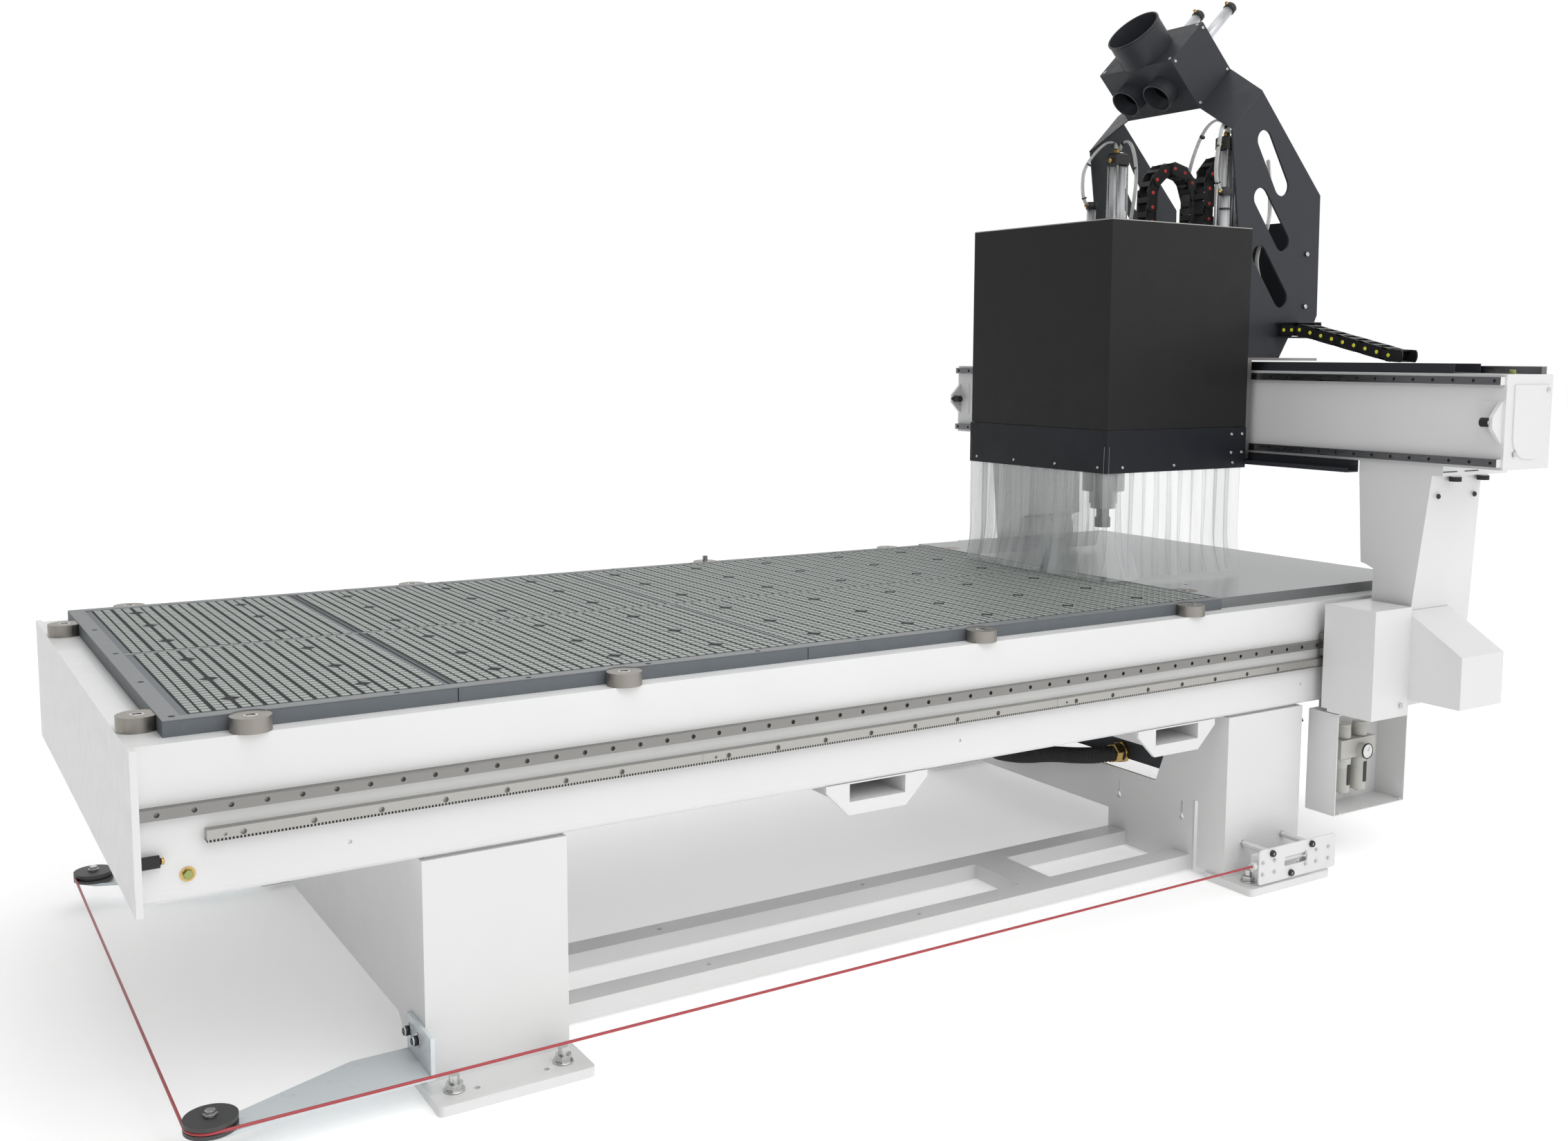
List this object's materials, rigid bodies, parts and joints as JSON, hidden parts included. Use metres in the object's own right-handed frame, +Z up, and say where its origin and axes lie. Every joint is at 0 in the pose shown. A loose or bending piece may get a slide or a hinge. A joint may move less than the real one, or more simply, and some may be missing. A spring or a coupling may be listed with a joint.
{
  "type": "cnc router",
  "caption": "Floor-standing CNC router with a grid vacuum table, travelling gantry, hooded spindle carriage, dust tower and emergency trip wire.",
  "frame": {"origin": "centre of the bounding box on the floor", "axes": "+X along the bed towards the end where the gantry parks, -Y the near long side with the trip-wire switch, +Z up"},
  "size_m": [3.53, 2.28, 2.4893],
  "materials": {
    "white_paint": "satin powder coat",
    "black_sheet": "satin powder coat",
    "table_grey": "machined phenolic panel",
    "loading_grey": "smooth panel",
    "rail_steel": "ground",
    "gear_steel": "turned",
    "plated_steel": "zinc plated",
    "cylinder_aluminium": "anodised",
    "head_aluminium": "machined",
    "chain_plastic": "moulded",
    "motor_black": "fine texture",
    "black_rubber": "matt",
    "wire_red": "sheathed wire rope",
    "clear_pvc": "clear",
    "clear_tube": "clear",
    "regulator_plastic": "moulded",
    "arm_paint": "satin"
  },
  "bodies": {
    "base": {"bed_frame": "white_paint", "side_covers": "white_paint", "end_panels": "white_paint", "left_leg_portal": "white_paint", "right_leg_portal": "white_paint", "foot_plates": "white_paint", "levelling_bolts": "plated_steel", "tie_frame": "white_paint", "fork_pockets": "white_paint", "vacuum_table": "table_grey", "loading_plate": "loading_grey", "pin_housings": "gear_steel", "x_rails": "rail_steel", "x_racks": "rail_steel", "travel_bumpers": "black_rubber", "vacuum_manifold": "black_sheet", "vacuum_hose": "black_rubber", "air_service_box": "white_paint", "air_regulator": "regulator_plastic", "coiled_air_tube": "black_rubber", "rope_switch": "white_paint", "pulley_arms": "arm_paint", "trip_wire": "wire_red"},
    "gantry": {"gantry_beam": "white_paint", "beam_end_caps": "white_paint", "beam_rails": "rail_steel", "beam_rack": "rail_steel", "cable_tray": "black_sheet", "tray_chain": "chain_plastic", "gantry_legs": "white_paint", "drive_covers": "white_paint", "x_motors": "motor_black", "x_bearing_blocks": "rail_steel", "beam_fasteners": "black_rubber"},
    "carriage": {"carriage_plate": "head_aluminium", "y_bearing_blocks": "rail_steel", "hood": "black_sheet", "strip_curtain": "clear_pvc", "tower": "black_sheet", "dust_box": "black_sheet", "gate_cylinders": "cylinder_aluminium", "carriage_chain": "chain_plastic", "y_motor": "motor_black", "lift_cylinders": "cylinder_aluminium", "hood_chains": "chain_plastic", "air_tubes": "clear_tube"},
    "near_pins_body": {"near_pins": "gear_steel"},
    "far_pins_body": {"far_pins": "gear_steel"},
    "end_pins_body": {"end_pins": "gear_steel"},
    "raised_pin_body": {"raised_pin": "gear_steel"},
    "near_pulley_body": {"near_pulley": "motor_black"},
    "far_pulley_body": {"far_pulley": "motor_black"},
    "near_x_pinion_body": {"near_x_pinion": "gear_steel"},
    "far_x_pinion_body": {"far_x_pinion": "gear_steel"},
    "y_pinion_body": {"y_pinion": "gear_steel"},
    "tool_holder_body": {"tool_holder": "gear_steel"},
    "near_blast_gate_body": {"near_blast_gate": "head_aluminium"},
    "far_blast_gate_body": {"far_blast_gate": "head_aluminium"},
    "spindle_head_body": {"spindle_head": "head_aluminium"},
    "drill_head_body": {"drill_head": "head_aluminium"}
  },
  "joints": [
    {"name": "gantry_travel", "type": "slide", "parent": "base", "child": "gantry", "axis": [1, 0, 0], "range_m": [-2.5, 0.06]},
    {"name": "carriage_travel", "type": "slide", "parent": "gantry", "child": "carriage", "axis": [0, 1, 0], "range_m": [-0.68, 0.68]},
    {"name": "spindle_lift", "type": "slide", "parent": "carriage", "child": "spindle_head_body", "axis": [0, 0, 1], "range_m": [-0.1, 0.08]},
    {"name": "drill_lift", "type": "slide", "parent": "carriage", "child": "drill_head_body", "axis": [0, 0, 1], "range_m": [-0.13, 0.05]},
    {"name": "spindle_spin", "type": "hinge", "parent": "spindle_head_body", "child": "tool_holder_body", "pos_m": [1.145, 0.06, 0.98], "axis": [0, 0, 1], "continuous": true},
    {"name": "near_x_pinion_turn", "type": "hinge", "parent": "gantry", "child": "near_x_pinion_body", "pos_m": [1.47, -0.719, 0.5455], "axis": [0, 1, 0], "continuous": true},
    {"name": "far_x_pinion_turn", "type": "hinge", "parent": "gantry", "child": "far_x_pinion_body", "pos_m": [1.47, 0.719, 0.5455], "axis": [0, 1, 0], "continuous": true},
    {"name": "y_pinion_turn", "type": "hinge", "parent": "carriage", "child": "y_pinion_body", "pos_m": [1.6075, -0.022, 1.382], "axis": [0, 0, 1], "continuous": true},
    {"name": "near_pin_lift", "type": "slide", "parent": "base", "child": "near_pins_body", "axis": [0, 0, 1], "range_m": [0, 0.018]},
    {"name": "far_pin_lift", "type": "slide", "parent": "base", "child": "far_pins_body", "axis": [0, 0, 1], "range_m": [0, 0.018]},
    {"name": "end_pin_lift", "type": "slide", "parent": "base", "child": "end_pins_body", "axis": [0, 0, 1], "range_m": [0, 0.018]},
    {"name": "raised_pin_lift", "type": "slide", "parent": "base", "child": "raised_pin_body", "axis": [0, 0, 1], "range_m": [-0.018, 0]},
    {"name": "near_pulley_turn", "type": "hinge", "parent": "base", "child": "near_pulley_body", "pos_m": [-1.663, -0.746, 0.074], "axis": [0, 0, 1], "continuous": true},
    {"name": "far_pulley_turn", "type": "hinge", "parent": "base", "child": "far_pulley_body", "pos_m": [-1.663, 0.746, 0.074], "axis": [0, 0, 1], "continuous": true},
    {"name": "near_gate_close", "type": "slide", "parent": "carriage", "child": "near_blast_gate_body", "axis": [-0.7071, 0, -0.7071], "range_m": [0, 0.155]},
    {"name": "far_gate_close", "type": "slide", "parent": "carriage", "child": "far_blast_gate_body", "axis": [-0.7071, 0, -0.7071], "range_m": [0, 0.155]}
  ],
  "couplings": [
    {"joint": "near_x_pinion_turn", "follows": "gantry_travel", "rad_per_m": -50},
    {"joint": "far_x_pinion_turn", "follows": "gantry_travel", "rad_per_m": -50},
    {"joint": "y_pinion_turn", "follows": "carriage_travel", "rad_per_m": 50}
  ]
}
